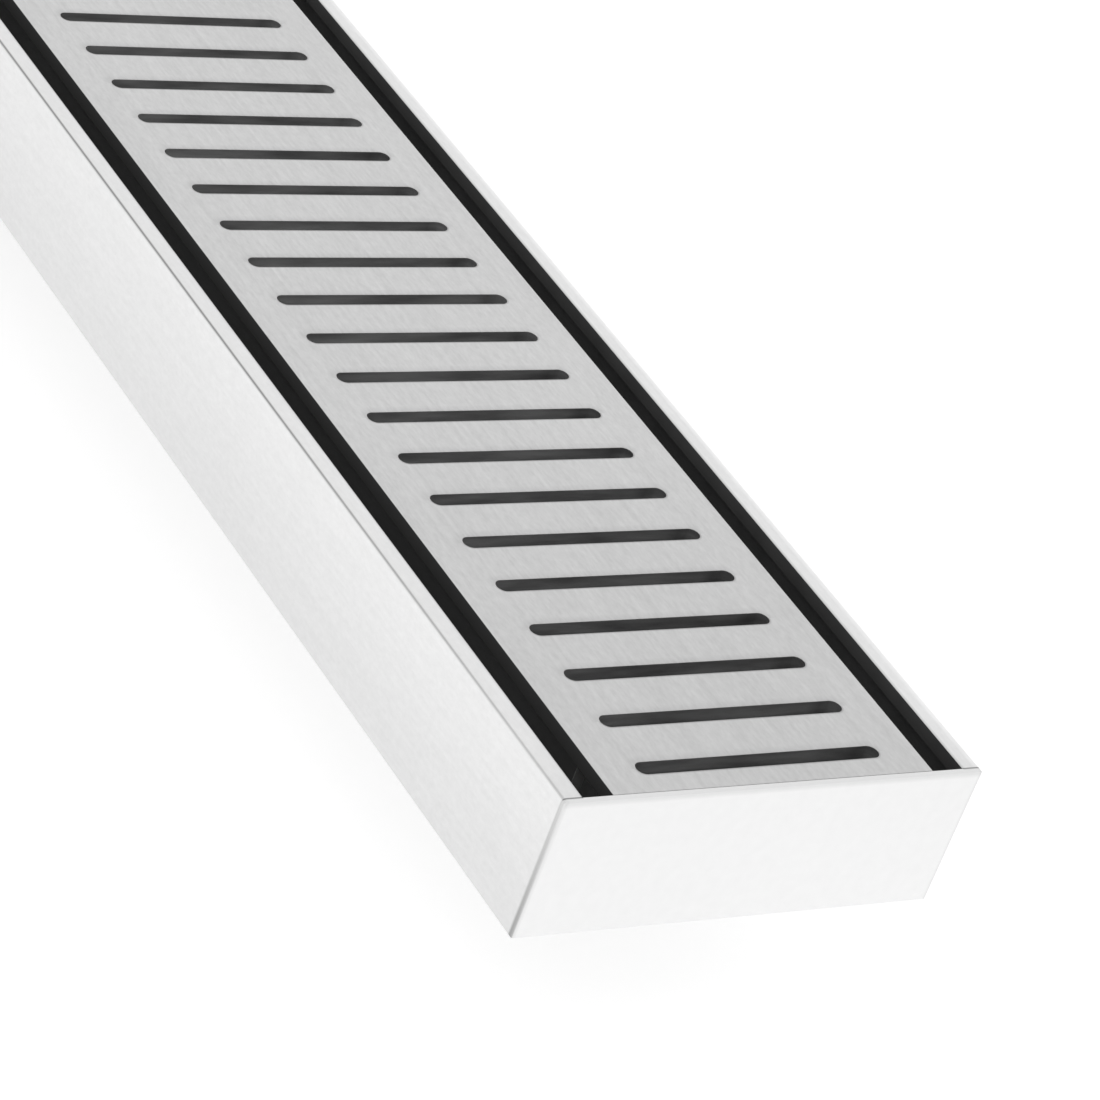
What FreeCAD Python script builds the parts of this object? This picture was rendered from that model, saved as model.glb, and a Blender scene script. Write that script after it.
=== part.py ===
import FreeCAD, Part

import os

from FreeCAD import Vector

# Linear shower channel drain: an extruded channel with headed rims, flat end plates, a central
# outlet spigot, and a lift-out slotted grate on two bearers that stand in rubber shoes.
# Millimetres. +X runs along the drain, +Y across it, +Z up.
# Origin: centre of the spigot's lower end, which is the lowest point of the drain.

# --- driving dimensions -------------------------------------------------------------------
overall_length = 500.0
overall_width = 75.0
channel_height = 25.0
end_thickness = 0.8
end_edge_break = 0.2         # chamfer round the outer face of each end plate

# channel section
wall = 1.5
floor_fall = 0.6             # the floor's middle lies this much below its sides
fall_half_width = 22.0       # where the fall starts, each side of the middle
rim_width = 3.4              # flat top of each rim
rim_depth = 2.4              # depth of the thickened rim head
rim_splay = 0.6              # rise of the sloped underside of the rim head
rim_edge_radius = 0.6        # outer top edge
inner_edge_radius = 0.15     # inner top edge
floor_corner_radius = 1.2    # inside, where wall and floor meet
base_edge_radius = 0.3       # outside, along the underside
rib_height = 1.2             # low floor ribs that hold the shoes sideways
rib_width = 1.2

# outlet
outlet_bore_radius = 23.5
spigot_radius = 25.0
spigot_length = 25.0         # straight tube below its flange
flange_radius = 33.0
flange_thickness = 1.5
spigot_lead_in = 1.0         # chamfer on the tube's lower outer edge

# grate
grate_recess = 0.15          # grate top below the rim tops
grate_thickness = 2.4
side_gap = 5.4               # open gap between the grate and each rim
end_clearance = 0.25         # grate to each end plate
slot_width = 2.8
slot_length = 43.5
first_slot = 5.5             # end plate's inner face to the first slot's centre
slot_count = 46
grate_edge_radius = 0.15

# bearers, ties and shoes under the grate
bearer_thickness = 2.0
bearer_inset = 2.3           # grate side to the bearer's outer face
bearer_end_gap = 12.0        # bearer's end to the end plate
bearer_lift = 1.5            # rubber under the bearer's foot
notch_length = 28.0          # drain notches along the bearer's foot
notch_height = 7.0           # also the run of each sloped end
notch_count = 11
tie_thickness = 2.0
tie_depth = 8.5
tie_count = 4
tie_first_web = 4            # web of the grate over the first tie, counted from the -X end
tie_web_step = 12
shoe_length = 12.0
shoe_wall = 1.5
shoe_grip = 4.0              # height of rubber that hugs the bearer
shoe_play = 0.1              # shoe to floor rib
shoe_count = 4
shoe_spacing = 128.0
notches_per_shoe = 3         # notches from one shoe to the next

# --- derived places -----------------------------------------------------------------------
half_width = overall_width / 2
inner_half_length = overall_length / 2 - end_thickness
base_z = spigot_length + flange_thickness            # underside of the channel
floor_z = base_z + wall                              # middle of the channel's floor
land_z = floor_z + floor_fall                        # level sides of the floor
top_z = base_z + channel_height
grate_top_z = top_z - grate_recess
grate_under_z = grate_top_z - grate_thickness
grate_half_width = half_width - rim_width - side_gap
grate_half_length = inner_half_length - end_clearance
slot_pitch = 2 * (inner_half_length - first_slot) / (slot_count - 1)
bearer_outer_y = grate_half_width - bearer_inset
bearer_mid_y = bearer_outer_y - bearer_thickness / 2
bearer_half_length = inner_half_length - bearer_end_gap
bearer_foot_z = land_z + bearer_lift
notch_pitch = shoe_spacing / notches_per_shoe
shoe_outer_y = bearer_outer_y + shoe_wall
rib_inner_y = shoe_outer_y + shoe_play


def slot_x(index):
    """Centre of a slot along the grate, counted from the -X end."""
    return -inner_half_length + first_slot + index * slot_pitch


def extrude_section(points, x_start, length):
    """Straight bar along +X from a closed (y, z) outline with sharp corners."""
    corners = [Vector(x_start, y, z) for y, z in points]
    outline = Part.makePolygon(corners + corners[:1])
    return Part.Face(outline).extrude(Vector(length, 0, 0))


def round_edges(solid, radius, wanted):
    """Fillet every edge along X whose (y, z) place passes the test."""
    chosen = []
    for edge in solid.Edges:
        first = edge.Vertexes[0].Point
        last = edge.Vertexes[-1].Point
        along_x = abs(first.y - last.y) < 1e-6 and abs(first.z - last.z) < 1e-6
        if along_x and wanted(abs(first.y), first.z):
            chosen.append(edge)
    return solid.makeFillet(radius, chosen)


def channel_section():
    """Outline of the extrusion: U with rim heads, two low floor ribs and a shallow V between them."""
    wall_y = half_width - wall
    rim_y = half_width - rim_width
    head_z = top_z - rim_depth
    rib_outer_y = rib_inner_y + rib_width
    right = [
        (half_width, base_z),
        (half_width, top_z),
        (rim_y, top_z),
        (rim_y, head_z),
        (wall_y, head_z - rim_splay),
        (wall_y, land_z),
        (rib_outer_y, land_z),
        (rib_outer_y, land_z + rib_height),
        (rib_inner_y, land_z + rib_height),
        (rib_inner_y, land_z),
        (fall_half_width, land_z),
    ]
    left = [(-y, z) for y, z in reversed(right)]
    return right + [(0, floor_z)] + left


def make_channel():
    """Extruded channel body with the outlet hole cut through the middle of its floor."""
    body = extrude_section(channel_section(), -inner_half_length, 2 * inner_half_length)
    rim_y = half_width - rim_width
    wall_y = half_width - wall

    def at(y_place, z_place):
        return lambda y, z: abs(y - y_place) < 1e-6 and abs(z - z_place) < 1e-6

    body = round_edges(body, rim_edge_radius, at(half_width, top_z))
    body = round_edges(body, inner_edge_radius, at(rim_y, top_z))
    body = round_edges(body, floor_corner_radius, at(wall_y, land_z))
    body = round_edges(body, base_edge_radius, at(half_width, base_z))
    hole_depth = wall + floor_fall + 2
    hole = Part.makeCylinder(outlet_bore_radius, hole_depth, Vector(0, 0, base_z - 1))
    return body.cut(hole)


def make_end_plate(x_inner, direction):
    """Flat end plate with the rim's rounded top corners and an eased outer face."""
    plate = extrude_section(
        [(-half_width, base_z), (half_width, base_z), (half_width, top_z), (-half_width, top_z)],
        x_inner,
        direction * end_thickness,
    )
    plate = round_edges(plate, rim_edge_radius, lambda y, z: abs(z - top_z) < 1e-6)
    plate = round_edges(plate, base_edge_radius, lambda y, z: abs(z - base_z) < 1e-6)
    x_outer = x_inner + direction * end_thickness
    outer_edges = []
    for edge in plate.Edges:
        if all(abs(vertex.Point.x - x_outer) < 1e-6 for vertex in edge.Vertexes):
            outer_edges.append(edge)
    return plate.makeChamfer(end_edge_break, outer_edges)


def make_spigot():
    """Flanged outlet tube, turned about Z, with a lead-in for the pipe seal."""
    under_z = base_z - flange_thickness
    profile = [
        (outlet_bore_radius, 0),
        (spigot_radius - spigot_lead_in / 2, 0),
        (spigot_radius, spigot_lead_in),
        (spigot_radius, under_z),
        (flange_radius, under_z),
        (flange_radius, base_z),
        (outlet_bore_radius, base_z),
    ]
    corners = [Vector(radius, 0, z) for radius, z in profile]
    outline = Part.makePolygon(corners + corners[:1])
    return Part.Face(outline).revolve(Vector(0, 0, 0), Vector(0, 0, 1), 360)


def stadium(x_centre, z_bottom):
    """Flat face of one slot: two straight sides across the grate and two round ends."""
    radius = slot_width / 2
    straight = slot_length / 2 - radius

    def at(dx, y):
        return Vector(x_centre + dx, y, z_bottom)

    sides = [
        Part.makeLine(at(-radius, -straight), at(-radius, straight)),
        Part.Arc(at(-radius, straight), at(0, straight + radius), at(radius, straight)).toShape(),
        Part.makeLine(at(radius, straight), at(radius, -straight)),
        Part.Arc(at(radius, -straight), at(0, -straight - radius), at(-radius, -straight)).toShape(),
    ]
    return Part.Wire(sides)


def make_grate_plate():
    """Flat grate: one plate with a row of round-ended slots across it."""
    y = grate_half_width
    x = grate_half_length
    z = grate_under_z
    corners = [Vector(-x, -y, z), Vector(x, -y, z), Vector(x, y, z), Vector(-x, y, z)]
    outline = Part.makePolygon(corners + corners[:1])
    slots = [stadium(slot_x(index), z) for index in range(slot_count)]
    face = Part.Face([outline] + slots)
    plate = face.extrude(Vector(0, 0, grate_thickness))

    def top_side(edge_y, edge_z):
        return abs(edge_y - y) < 1e-6 and abs(edge_z - grate_top_z) < 1e-6

    return round_edges(plate, grate_edge_radius, top_side)


def make_bearer(side):
    """Upright flat bar under one side of the grate, notched along its foot to let water through."""
    y = side * bearer_mid_y - bearer_thickness / 2
    foot = []
    for index in range(notch_count):
        middle = (index - (notch_count - 1) / 2) * notch_pitch
        half_base = notch_length / 2
        half_top = half_base - notch_height
        foot += [
            (middle - half_base, bearer_foot_z),
            (middle - half_top, bearer_foot_z + notch_height),
            (middle + half_top, bearer_foot_z + notch_height),
            (middle + half_base, bearer_foot_z),
        ]
    outline = [(-bearer_half_length, grate_under_z), (-bearer_half_length, bearer_foot_z)]
    outline += foot
    outline += [(bearer_half_length, bearer_foot_z), (bearer_half_length, grate_under_z)]
    corners = [Vector(x, y, z) for x, z in outline]
    face = Part.Face(Part.makePolygon(corners + corners[:1]))
    return face.extrude(Vector(0, bearer_thickness, 0))


def make_cross_tie(index):
    """Flat bar between the bearers, hidden under a web of the grate."""
    web = tie_first_web + index * tie_web_step
    x = slot_x(web) + slot_pitch / 2
    reach = bearer_mid_y - bearer_thickness / 2
    return Part.makeBox(
        tie_thickness,
        2 * reach,
        tie_depth,
        Vector(x - tie_thickness / 2, -reach, grate_under_z - tie_depth),
    )


def make_shoe(side, index):
    """Rubber shoe on a bearer's foot, between two drain notches."""
    x = (index - (shoe_count - 1) / 2) * shoe_spacing
    inner = bearer_thickness / 2
    outer = inner + shoe_wall
    outline = [
        (-outer, land_z),
        (outer, land_z),
        (outer, bearer_foot_z + shoe_grip),
        (inner, bearer_foot_z + shoe_grip),
        (inner, bearer_foot_z),
        (-inner, bearer_foot_z),
        (-inner, bearer_foot_z + shoe_grip),
        (-outer, bearer_foot_z + shoe_grip),
    ]
    shifted = [(side * bearer_mid_y + y, z) for y, z in outline]
    return extrude_section(shifted, x - shoe_length / 2, shoe_length)


def build():
    """Every piece of the drain by its node name."""
    nodes = {
        "channel": make_channel(),
        "end_plate_near": make_end_plate(inner_half_length, 1),
        "end_plate_far": make_end_plate(-inner_half_length, -1),
        "outlet_spigot": make_spigot(),
        "grate_plate": make_grate_plate(),
        "bearer_left": make_bearer(-1),
        "bearer_right": make_bearer(1),
    }
    for index in range(tie_count):
        nodes[f"cross_tie_{index + 1}"] = make_cross_tie(index)
    for index in range(shoe_count):
        nodes[f"shoe_left_{index + 1}"] = make_shoe(-1, index)
        nodes[f"shoe_right_{index + 1}"] = make_shoe(1, index)
    return nodes


def main():
    os.makedirs("parts", exist_ok=True)
    for name, shape in build().items():
        shape.exportStep(f"parts/{name}.step")
        print(f"{name}: {len(shape.Solids)} solid, {shape.Volume:.0f} mm3, valid {shape.isValid()}")


main()
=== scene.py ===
import math

import bpy
from mathutils import Matrix, Vector


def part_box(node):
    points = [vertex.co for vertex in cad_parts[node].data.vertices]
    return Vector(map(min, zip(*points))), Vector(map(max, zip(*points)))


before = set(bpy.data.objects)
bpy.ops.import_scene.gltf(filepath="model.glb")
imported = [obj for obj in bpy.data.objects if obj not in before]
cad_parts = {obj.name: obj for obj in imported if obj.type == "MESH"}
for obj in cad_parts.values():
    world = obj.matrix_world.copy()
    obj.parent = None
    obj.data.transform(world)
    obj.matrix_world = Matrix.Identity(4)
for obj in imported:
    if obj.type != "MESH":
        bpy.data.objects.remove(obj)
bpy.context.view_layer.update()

# Linear channel drain in a white studio. Metres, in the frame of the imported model:
# +X along the drain, +Y across it, +Z up.

MM = 0.001

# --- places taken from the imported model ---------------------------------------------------
CHANNEL_LOW, CHANNEL_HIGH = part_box("channel")
GRATE_LOW, GRATE_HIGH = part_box("grate_plate")
OUTLET_LOW, OUTLET_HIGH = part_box("outlet_spigot")
BEARER_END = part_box("bearer_left")[1].x

# --- sizes that the boxes don't give ------------------------------------------------------
WALL = 1.5 * MM              # channel's side walls
RIM_WIDTH = 3.4 * MM
RIM_ROUND = 0.6 * MM         # radius along the outer top edges of the channel
EDGE_LINE_ANGLE = 37         # degrees; where the painted shade line lies on that round
INNER_RIM = CHANNEL_HIGH.y - RIM_WIDTH
OUTLET_BORE = 23.5 * MM      # radius
SLOT_COUNT = 46
FIRST_SLOT = 5.5 * MM        # from the inner face of the end plate to the middle of the slot
SLOT_PITCH = 2 * (CHANNEL_HIGH.x - FIRST_SLOT) / (SLOT_COUNT - 1)
SLOT_RADIUS = 1.4 * MM
SLOT_HALF_LENGTH = 21.75 * MM
SKIN = 0.1 * MM              # a point this near to a face counts as on it

# --- camera -------------------------------------------------------------------------------
VIEW_AZIMUTH = 49.56         # degrees; 0 looks along +Y, 90 along -X
VIEW_ELEVATION = 30.53
VIEW_ROLL = 21.12
VIEW_DISTANCE = 0.7566
LENS_MM = 153.3
SENSOR_MM = 36.0
AIM_FROM_END = 89.1 * MM     # aim point, measured back from the near end of the channel
AIM_RIGHT = 19.76 * MM

# --- tones, linear ------------------------------------------------------------------------
CHANNEL_TONE = 0.828
# paler than CHANNEL_TONE: painted light on the end plates' faces
END_TONE = 0.925
GRATE_TONE = 0.655
OUTLET_TONE = 0.74
BEARER_TONE = 0.10
BEARER_END_TONE = 0.40       # sawn ends of the bearers, paler as painted light where they lie in shade
FLOOR_SHADE_TONE = 0.15       # painted shade on the water side of the channel, at its floor; paler there to lift the deepest shade
WALL_SHADE_TONE = 0.078       # painted shade on its walls, up under the rim head
LIP_TONE = 0.05              # painted shade on the inner face of the rim head
SLOT_TONE = 0.122            # cut walls of the slots: dark matt cut edge, darkened further as painted shade
GRATE_SIDE_TONE = 0.041      # long cut sides of the grate: dark matt cut edge, darkened further as painted shade
RUBBER_TONE = 0.03

# --- painted shade on the water side and on cut walls -------------------------------------
SHADE_ROUGHNESS = 0.6
SHADE_SPECULAR = 0.2

# --- studio -------------------------------------------------------------------------------
FLOOR_SIZE = 14.0
FLOOR_DROP = 0.2 * MM        # floor below the object, so that the two faces never coincide
FLOOR_TONE = 0.45
FLOOR_SEEN = 0.68            # glow added to the floor where the camera sees it
FLOOR_MIRRORED = 0.58        # and where a reflection does
WORLD_LIGHT = 0.94
KEY_PLACE = (0.9, -1.3, 1.6)
KEY_AIM = (0.1, 0, 0.03)
KEY_SIZE = 1.2
KEY_WATTS = 6.0


class Nodes:
    """Short calls for the nodes of one material."""

    def __init__(self, name):
        self.material = bpy.data.materials.new(name)
        self.material.use_nodes = True
        self.tree = self.material.node_tree
        self.tree.nodes.clear()
        self.coordinates = None
        self.axes = None

    def add(self, kind, **settings):
        node = self.tree.nodes.new(kind)
        for key, value in settings.items():
            setattr(node, key, value)
        return node

    def feed(self, socket, value):
        """Link a socket, or set a plain value."""
        if isinstance(value, bpy.types.NodeSocket):
            self.tree.links.new(value, socket)
        elif value is not None:
            socket.default_value = value

    def math(self, operation, first, second=None):
        node = self.add("ShaderNodeMath", operation=operation)
        self.feed(node.inputs[0], first)
        self.feed(node.inputs[1], second)
        return node.outputs[0]

    def remap(self, value, low, high, to_low=0.0, to_high=1.0):
        """to_low up to low, to_high from high on, and a straight ramp between them."""
        node = self.add("ShaderNodeMapRange")
        self.feed(node.inputs["Value"], value)
        self.feed(node.inputs["From Min"], low)
        self.feed(node.inputs["From Max"], high)
        self.feed(node.inputs["To Min"], to_low)
        self.feed(node.inputs["To Max"], to_high)
        return node.outputs["Result"]

    def vary(self, noise, to_low, to_high):
        """Factor that follows a noise over the range that it really covers."""
        return self.remap(noise, 0.3, 0.7, to_low, to_high)

    def band(self, value, centre, half_width):
        """1 where value is at centre, falling to 0 half_width away."""
        away = self.math("ABSOLUTE", self.math("SUBTRACT", value, centre))
        return self.remap(away, 0.0, half_width, 1.0, 0.0)

    def product(self, first, *others):
        """All the numbers multiplied together."""
        for other in others:
            first = self.math("MULTIPLY", first, other)
        return first

    def mix(self, factor, first, second):
        """Plain number between first and second."""
        gap = self.math("SUBTRACT", second, first)
        return self.math("ADD", first, self.math("MULTIPLY", gap, factor))

    def place(self):
        """Place on the object along X, Y and Z, in metres."""
        if self.axes is None:
            self.coordinates = self.add("ShaderNodeTexCoord")
            self.axes = self.add("ShaderNodeSeparateXYZ")
            self.feed(self.axes.inputs[0], self.coordinates.outputs["Object"])
        return self.axes.outputs

    def noise(self, scale, detail=2.0, roughness=0.5):
        """Noise with its own scale along each axis, in cycles a metre."""
        self.place()
        mapping = self.add("ShaderNodeMapping")
        self.feed(mapping.inputs["Vector"], self.coordinates.outputs["Object"])
        self.feed(mapping.inputs["Scale"], scale)
        node = self.add("ShaderNodeTexNoise")
        self.feed(node.inputs["Vector"], mapping.outputs[0])
        self.feed(node.inputs["Scale"], 1.0)
        self.feed(node.inputs["Detail"], detail)
        self.feed(node.inputs["Roughness"], roughness)
        return node.outputs["Fac"]

    def grey(self, value):
        node = self.add("ShaderNodeCombineColor")
        for socket in node.inputs[:3]:
            self.feed(socket, value)
        return node.outputs[0]

    def finish(self, tone, roughness, metallic, height, bump_mm, specular=None):
        """Principled shader from a tone, a roughness and a height in bump_mm."""
        shader = self.add("ShaderNodeBsdfPrincipled")
        self.feed(shader.inputs["Base Color"], self.grey(tone))
        self.feed(shader.inputs["Roughness"], roughness)
        self.feed(shader.inputs["Metallic"], metallic)
        if specular is not None:
            shader.inputs["Specular IOR Level"].default_value = specular
        bump = self.add("ShaderNodeBump")
        bump.inputs["Distance"].default_value = bump_mm * MM
        self.feed(bump.inputs["Height"], height)
        self.feed(shader.inputs["Normal"], bump.outputs[0])
        output = self.add("ShaderNodeOutputMaterial")
        self.feed(output.inputs["Surface"], shader.outputs[0])
        return self.material

    def finish_shaded(self, shaded_mask, metal, shade_tone, roughness, height, bump_mm):
        """Bare metal where the mask is 0, and a matt dark tone, painted shade, where it is 1."""
        return self.finish(
            tone=self.mix(shaded_mask, metal, shade_tone),
            roughness=self.mix(shaded_mask, roughness, SHADE_ROUGHNESS),
            metallic=self.math("SUBTRACT", 1.0, shaded_mask),
            height=height,
            bump_mm=bump_mm,
            specular=SHADE_SPECULAR,
        )


# --- materials ----------------------------------------------------------------------------
def brushed_grain(nodes, streak_mm, length_mm, long_share=0.42):
    """Streaks along X: short ones over a set that runs much longer."""
    across = 1 / (streak_mm * MM)
    along = 1 / (length_mm * MM)
    short = nodes.noise((along, across, across), detail=2.0, roughness=0.55)
    long = nodes.noise((along / 12, across * 0.8, across * 0.8), detail=2.0)
    return nodes.mix(long_share, short, long)


def inside_channel(nodes):
    """1 on the water side of channel and end plates, where shade is painted; 0 on their outside
    and on the rim tops.
    """
    x, y, z = nodes.place()
    inner_side = nodes.math("LESS_THAN", nodes.math("ABSOLUTE", y), CHANNEL_HIGH.y - WALL + SKIN)
    below_rim = nodes.math("LESS_THAN", z, CHANNEL_HIGH.z - 0.12 * MM)
    above_base = nodes.math("GREATER_THAN", z, CHANNEL_LOW.z + 0.4 * MM)
    inner_end = nodes.math("LESS_THAN", nodes.math("ABSOLUTE", x), CHANNEL_HIGH.x + 0.02 * MM)
    return nodes.product(inner_side, below_rim, above_base, inner_end)


def water_side_shade(nodes):
    """Tone of the painted shade on the water side: dark, paler towards the floor, darkest on the
    inner face of the rim head.
    """
    z = nodes.place()[2]
    on_rim_head = nodes.remap(z, CHANNEL_HIGH.z - 2.7 * MM, CHANNEL_HIGH.z - 2.5 * MM)
    height = nodes.remap(z, CHANNEL_LOW.z + 2 * MM, CHANNEL_HIGH.z - 12 * MM)
    wall = nodes.mix(height, FLOOR_SHADE_TONE, WALL_SHADE_TONE)
    mottle = nodes.noise((160, 160, 160), detail=4.0)
    return nodes.product(nodes.mix(on_rim_head, wall, LIP_TONE), nodes.vary(mottle, 0.88, 1.12))


def rounded_edge_line(nodes, half_width):
    """1 in the middle of the round along the outer top edges, where it turns away from light; a
    shade line is painted there.
    """
    y, z = nodes.place()[1:]
    out = nodes.math("SUBTRACT", nodes.math("ABSOLUTE", y), CHANNEL_HIGH.y - RIM_ROUND)
    up = nodes.math("SUBTRACT", z, CHANNEL_HIGH.z - RIM_ROUND)
    slope = math.tan(math.radians(EDGE_LINE_ANGLE))
    lean = nodes.math("SUBTRACT", out, nodes.math("MULTIPLY", up, slope))
    return nodes.band(lean, 0.0, half_width)


def rim_top(nodes, along):
    """Factor on the rim tops: soft inner edge, painted highlight along the +Y edge, dark joint at
    the end plates, painted shade towards the ends.
    """
    y = nodes.place()[1]
    side = nodes.math("ABSOLUTE", y)
    return nodes.product(
        # painted highlight along the +Y outer edge
        nodes.remap(y, CHANNEL_HIGH.y - 1.4 * MM, CHANNEL_HIGH.y - 0.2 * MM, 0.985, 1.18),
        nodes.remap(side, INNER_RIM, INNER_RIM + 0.45 * MM, 0.7, 1.0),
        nodes.remap(along, CHANNEL_HIGH.x - 0.25 * MM, CHANNEL_HIGH.x - 0.1 * MM, 1.0, 0.32),
        # painted shade over the last 14 mm towards each end
        nodes.remap(along, CHANNEL_HIGH.x - 14 * MM, CHANNEL_HIGH.x, 1.0, 0.95),
    )


def channel_wall(nodes, along):
    """Factor on the outer walls: painted shade towards the base, and darker at the joint with the
    end plates.
    """
    z = nodes.place()[2]
    return nodes.product(
        # painted shade towards the base of the wall
        nodes.remap(z, CHANNEL_LOW.z + 4 * MM, CHANNEL_HIGH.z - 1 * MM, 0.955, 1.035),
        nodes.remap(along, CHANNEL_HIGH.x - 0.4 * MM, CHANNEL_HIGH.x, 1.0, 0.68),
    )


def channel_metal(name):
    """Satin metal with a faint lengthwise grain outside, painted shade on the water side, a
    painted shade line along the -Y rounded edge, a painted highlight along the +Y rim edge, and
    painted shade towards the wall base and the ends.
    """
    nodes = Nodes(name)
    x, y, z = nodes.place()
    along = nodes.math("ABSOLUTE", x)
    grain = brushed_grain(nodes, streak_mm=0.7, length_mm=1.2)
    cloud = nodes.noise((14, 60, 60), detail=3.0)
    on_top = nodes.math("GREATER_THAN", z, CHANNEL_HIGH.z - 0.3 * MM)
    # painted shade line along the rounded outer top edge, on the -Y side only, fainter towards
    # the ends
    painted_edge_line = nodes.product(
        rounded_edge_line(nodes, 0.36 * MM),
        nodes.math("LESS_THAN", y, 0.0),
        nodes.remap(along, 150 * MM, CHANNEL_HIGH.x, 0.7, 0.3),
    )
    outside = nodes.product(
        CHANNEL_TONE,
        nodes.mix(on_top, channel_wall(nodes, along), rim_top(nodes, along)),
        nodes.math("SUBTRACT", 1.0, painted_edge_line),
        nodes.vary(grain, 0.953, 1.048),
        nodes.vary(cloud, 0.985, 1.015),
    )
    return nodes.finish_shaded(
        inside_channel(nodes),
        metal=outside,
        shade_tone=water_side_shade(nodes),
        roughness=nodes.vary(grain, 0.34, 0.46),
        height=grain,
        bump_mm=0.004,
    )


def end_metal(name):
    """Plain satin plate: painted shade on its narrow sides, darkest at the bottom, and a face
    with painted shade falling off softly to its rim and side edges.
    """
    nodes = Nodes(name)
    x, y, z = nodes.place()
    along = nodes.math("ABSOLUTE", x)
    side = nodes.math("ABSOLUTE", y)
    grain = nodes.noise((500, 500, 500), detail=3.0)
    cloud = nodes.noise((30, 30, 30), detail=3.0)
    # painted shade: the face falls off to its top rim and side edges, and darkens slightly
    # upwards
    face = nodes.product(
        nodes.remap(z, CHANNEL_HIGH.z - 1.25 * MM, CHANNEL_HIGH.z - 0.5 * MM, 1.0, 0.88),
        nodes.remap(z, CHANNEL_LOW.z, CHANNEL_HIGH.z, 1.005, 0.985),
        nodes.remap(side, CHANNEL_HIGH.y - 0.8 * MM, CHANNEL_HIGH.y - 0.2 * MM, 1.0, 0.9),
    )
    # painted shade on the plate's narrow sides, darkest at the bottom
    painted_side_shade = nodes.product(
        nodes.remap(z, CHANNEL_LOW.z, CHANNEL_HIGH.z, 0.44, 0.74),
        nodes.remap(along, CHANNEL_HIGH.x + 0.4 * MM, CHANNEL_HIGH.x + 0.7 * MM, 1.0, 1.2),
    )
    on_side = nodes.remap(side, CHANNEL_HIGH.y - 0.2 * MM, CHANNEL_HIGH.y - 0.05 * MM)
    joint_on_rim = nodes.product(
        nodes.band(along, CHANNEL_HIGH.x, 0.2 * MM),
        nodes.remap(z, CHANNEL_HIGH.z - 0.2 * MM, CHANNEL_HIGH.z - 0.05 * MM),
        nodes.math("GREATER_THAN", side, INNER_RIM),
    )
    outside = nodes.product(
        END_TONE,
        nodes.mix(on_side, face, painted_side_shade),
        nodes.mix(joint_on_rim, 1.0, 0.3),
        nodes.vary(grain, 0.99, 1.01),
        nodes.vary(cloud, 0.995, 1.005),
    )
    return nodes.finish_shaded(
        inside_channel(nodes),
        metal=outside,
        shade_tone=water_side_shade(nodes),
        roughness=nodes.vary(cloud, 0.36, 0.46),
        height=grain,
        bump_mm=0.004,
    )


def slot_distance(nodes):
    """Distance outside the nearest slot's outline, and whether that slot lies towards +X."""
    x, y = nodes.place()[:2]
    pitches = nodes.math("DIVIDE", x, SLOT_PITCH)
    across = nodes.math("SUBTRACT", nodes.math("FLOORED_MODULO", pitches, 1.0), 0.5)
    across = nodes.math("MULTIPLY", across, SLOT_PITCH)
    side = nodes.math("ABSOLUTE", y)
    past_end = nodes.math("SUBTRACT", side, SLOT_HALF_LENGTH - SLOT_RADIUS)
    past_end = nodes.math("MAXIMUM", past_end, 0.0)
    across_squared = nodes.math("POWER", across, 2.0)
    past_end_squared = nodes.math("POWER", past_end, 2.0)
    from_middle = nodes.math("SQRT", nodes.math("ADD", across_squared, past_end_squared))
    distance = nodes.math("SUBTRACT", from_middle, SLOT_RADIUS)
    return distance, nodes.math("LESS_THAN", across, 0.0)


def slot_wall(nodes, along):
    """Tone of a slot's cut wall, with painted light and shade: paler low down, towards -Y and
    mid-length, darker in a band at the very bottom, a painted dark spot near the +Y end, and
    uneven.
    """
    y, z = nodes.place()[1:]
    uneven = nodes.noise((70, 70, 450), detail=3.0)
    painted_dark_spot = nodes.band(y, SLOT_HALF_LENGTH - 2.8 * MM, 2.2 * MM)
    return nodes.product(
        SLOT_TONE,
        nodes.remap(z, GRATE_LOW.z, GRATE_HIGH.z, 1.75, 0.7),
        nodes.remap(z, GRATE_LOW.z + 0.1 * MM, GRATE_LOW.z + 0.5 * MM, 0.82, 1.0),
        nodes.remap(y, -SLOT_HALF_LENGTH, SLOT_HALF_LENGTH, 1.15, 0.9),
        nodes.remap(along, CHANNEL_HIGH.x - 110 * MM, CHANNEL_HIGH.x - 50 * MM, 1.16, 0.9),
        nodes.mix(painted_dark_spot, 1.0, 0.72),
        nodes.vary(uneven, 0.6, 1.32),
    )


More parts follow.
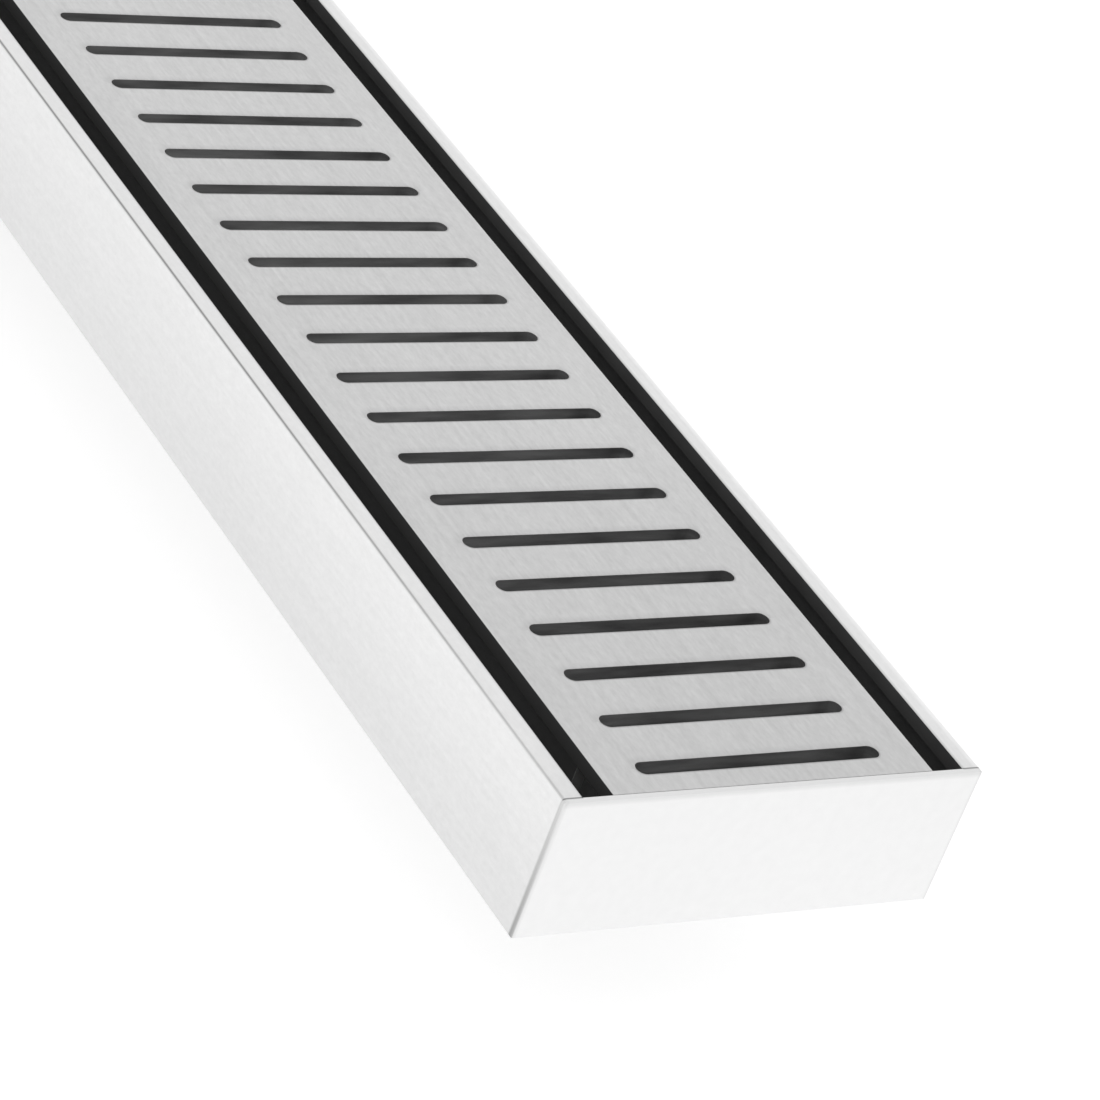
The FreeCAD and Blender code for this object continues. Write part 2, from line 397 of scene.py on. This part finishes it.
def grate_metal(name):
    """Lengthwise brushed plate: painted shade along the slot edges and towards the ends on top,
    and dark cut walls with painted shade in the slots and along its sides.
    """
    nodes = Nodes(name)
    x, y, z = nodes.place()
    along = nodes.math("ABSOLUTE", x)
    side = nodes.math("ABSOLUTE", y)
    grain = brushed_grain(nodes, streak_mm=0.6, length_mm=1.5)
    cloud = nodes.noise((7, 35, 35), detail=3.0)
    distance, behind_slot = slot_distance(nodes)
    # painted shade along each slot's edge: narrow and deep on one side, wide and faint where the
    # slot lies towards +X
    painted_edge_shade = nodes.mix(
        behind_slot,
        nodes.remap(distance, 0.05 * MM, 0.35 * MM, 0.66, 1.0),
        nodes.remap(distance, 0.0, 1.5 * MM, 0.88, 1.0),
    )
    top = nodes.product(
        GRATE_TONE,
        # painted shade towards the ends of the grate
        nodes.remap(along, GRATE_HIGH.x - 90 * MM, GRATE_HIGH.x, 1.0, 0.925),
        painted_edge_shade,
        nodes.vary(grain, 0.895, 1.095),
        nodes.vary(cloud, 0.98, 1.02),
    )
    on_side = nodes.math("GREATER_THAN", side, GRATE_HIGH.y - SKIN)
    below_top = nodes.remap(z, GRATE_HIGH.z - 0.10 * MM, GRATE_HIGH.z - 0.03 * MM, 1.0, 0.0)
    return nodes.finish_shaded(
        below_top,
        metal=top,
        shade_tone=nodes.mix(on_side, slot_wall(nodes, along), GRATE_SIDE_TONE),
        roughness=nodes.vary(grain, 0.32, 0.48),
        height=grain,
        bump_mm=0.006,
    )


def from_outlet_axis(nodes):
    """Distance from the upright axis of the outlet."""
    x, y = nodes.place()[:2]
    middle = (OUTLET_LOW + OUTLET_HIGH) / 2
    along_squared = nodes.math("POWER", nodes.math("SUBTRACT", x, middle.x), 2.0)
    across_squared = nodes.math("POWER", nodes.math("SUBTRACT", y, middle.y), 2.0)
    return nodes.math("SQRT", nodes.math("ADD", along_squared, across_squared))


def outlet_metal(name):
    """Turned tube: fine rings outside, painted shade in the bore."""
    nodes = Nodes(name)
    rings = nodes.noise((150, 150, 2600), detail=3.0)
    cloud = nodes.noise((40, 40, 40), detail=4.0)
    outside = nodes.product(
        OUTLET_TONE,
        nodes.vary(rings, 0.94, 1.04),
        nodes.vary(cloud, 0.93, 1.03),
    )
    return nodes.finish_shaded(
        # painted shade in the bore, in the same dark tone as the water side
        nodes.math("LESS_THAN", from_outlet_axis(nodes), OUTLET_BORE + 0.3 * MM),
        metal=outside,
        shade_tone=WALL_SHADE_TONE,
        roughness=nodes.vary(cloud, 0.36, 0.5),
        height=rings,
        bump_mm=0.005,
    )


def bearer_metal(name):
    """Dark rolled bar with a faint lengthwise grain, and sawn ends in a paler tone, painted light
    where they lie in shade.
    """
    nodes = Nodes(name)
    x = nodes.place()[0]
    sawn_end_light = nodes.math("GREATER_THAN", nodes.math("ABSOLUTE", x), BEARER_END - SKIN)
    grain = nodes.noise((25, 2200, 2200), detail=3.0)
    cloud = nodes.noise((40, 40, 40), detail=4.0)
    return nodes.finish(
        tone=nodes.product(
            nodes.mix(sawn_end_light, BEARER_TONE, BEARER_END_TONE),
            nodes.vary(grain, 0.94, 1.04),
            nodes.vary(cloud, 0.93, 1.03),
        ),
        roughness=nodes.vary(cloud, 0.36, 0.5),
        metallic=0.0,
        height=grain,
        bump_mm=0.005,
    )


def rubber(name):
    """Matt moulded rubber with a fine grain and a dusting of pale bloom."""
    nodes = Nodes(name)
    grain = nodes.noise((1800, 1800, 1800), detail=2.0)
    bloom = nodes.noise((120, 120, 120), detail=4.0)
    return nodes.finish(
        tone=nodes.product(RUBBER_TONE, nodes.remap(bloom, 0.35, 0.7, 0.8, 1.9)),
        roughness=nodes.vary(bloom, 0.7, 0.85),
        metallic=0.0,
        height=grain,
        bump_mm=0.03,
        specular=0.3,
    )


def dress(name, material):
    """Give a CAD node its material."""
    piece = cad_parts[name]
    piece.data.materials.clear()
    piece.data.materials.append(material)


def dress_drain():
    """Materials of every CAD node."""
    end_finish = end_metal("end_plate_finish")
    bearer_finish = bearer_metal("bearer_finish")
    shoe_finish = rubber("shoe_finish")
    dress("channel", channel_metal("channel_finish"))
    dress("grate_plate", grate_metal("grate_finish"))
    dress("outlet_spigot", outlet_metal("outlet_finish"))
    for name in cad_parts:
        if name.startswith("end_plate"):
            dress(name, end_finish)
        elif name.startswith(("bearer", "cross_tie")):
            dress(name, bearer_finish)
        elif name.startswith("shoe"):
            dress(name, shoe_finish)


# --- making of the studio -----------------------------------------------------------------
def floor_glow(nodes):
    """Glow for camera rays, and for rays that show the floor in metal; none in the outlet."""
    path = nodes.add("ShaderNodeLightPath")
    mirrored = nodes.math(
        "MAXIMUM", path.outputs["Is Glossy Ray"], path.outputs["Is Transmission Ray"]
    )
    glow = nodes.math(
        "ADD",
        nodes.math("MULTIPLY", path.outputs["Is Camera Ray"], FLOOR_SEEN),
        nodes.math("MULTIPLY", mirrored, FLOOR_MIRRORED),
    )
    outside = nodes.math("GREATER_THAN", from_outlet_axis(nodes), OUTLET_BORE + 0.7 * MM)
    return nodes.math("MULTIPLY", glow, outside)


def make_floor():
    """Pale floor that goes to white where it is seen and keeps the drain's soft shadow."""
    bpy.ops.mesh.primitive_plane_add(size=FLOOR_SIZE, location=(0, 0, -FLOOR_DROP))
    floor = bpy.context.object
    floor.name = "studio_floor"
    nodes = Nodes("studio_floor")
    diffuse = nodes.add("ShaderNodeBsdfDiffuse")
    diffuse.inputs["Color"].default_value = (FLOOR_TONE, FLOOR_TONE, FLOOR_TONE, 1)
    glow = nodes.add("ShaderNodeEmission")
    nodes.feed(glow.inputs["Strength"], floor_glow(nodes))
    both = nodes.add("ShaderNodeAddShader")
    nodes.feed(both.inputs[0], diffuse.outputs[0])
    nodes.feed(both.inputs[1], glow.outputs[0])
    output = nodes.add("ShaderNodeOutputMaterial")
    nodes.feed(output.inputs["Surface"], both.outputs[0])
    floor.data.materials.append(nodes.material)


def make_world():
    """Even pale surround, white where the camera sees it."""
    world = bpy.data.worlds.new("studio")
    world.use_nodes = True
    tree = world.node_tree
    background = tree.nodes["Background"]
    path = tree.nodes.new("ShaderNodeLightPath")
    strength = tree.nodes.new("ShaderNodeMapRange")
    strength.inputs["To Min"].default_value = WORLD_LIGHT
    strength.inputs["To Max"].default_value = 1.0
    tree.links.new(path.outputs["Is Camera Ray"], strength.inputs["Value"])
    tree.links.new(strength.outputs["Result"], background.inputs["Strength"])
    background.inputs["Color"].default_value = (1, 1, 1, 1)
    bpy.context.scene.world = world


def make_key():
    """One large soft lamp in front, up on the +X side."""
    lamp = bpy.data.lights.new("key", "AREA")
    lamp.size = KEY_SIZE
    lamp.energy = KEY_WATTS
    holder = bpy.data.objects.new("key", lamp)
    holder.location = KEY_PLACE
    toward = Vector(KEY_AIM) - Vector(KEY_PLACE)
    holder.rotation_euler = toward.to_track_quat("-Z", "Y").to_euler()
    bpy.context.collection.objects.link(holder)


def make_camera():
    """Camera over the near end, rolled so that the drain runs up to the left."""
    azimuth = math.radians(VIEW_AZIMUTH)
    elevation = math.radians(VIEW_ELEVATION)
    level = math.cos(elevation)
    back = Vector((math.sin(azimuth) * level, -math.cos(azimuth) * level, math.sin(elevation)))
    right = (-back).cross(Vector((0, 0, 1))).normalized()
    up = back.cross(right)
    turned = Matrix((right, up, back)).transposed().to_4x4()
    turned = turned @ Matrix.Rotation(math.radians(VIEW_ROLL), 4, "Z")
    aim = Vector((CHANNEL_HIGH.x - AIM_FROM_END, AIM_RIGHT, CHANNEL_LOW.z))
    lens = bpy.data.cameras.new("camera")
    lens.lens = LENS_MM
    lens.sensor_width = SENSOR_MM
    lens.clip_start = 0.01
    lens.clip_end = 100.0
    camera = bpy.data.objects.new("camera", lens)
    camera.matrix_world = Matrix.Translation(aim + back * VIEW_DISTANCE) @ turned
    bpy.context.collection.objects.link(camera)
    bpy.context.scene.camera = camera


def make_studio():
    make_floor()
    make_world()
    make_key()
    make_camera()
    bpy.context.scene.view_settings.view_transform = "Standard"


dress_drain()
make_studio()
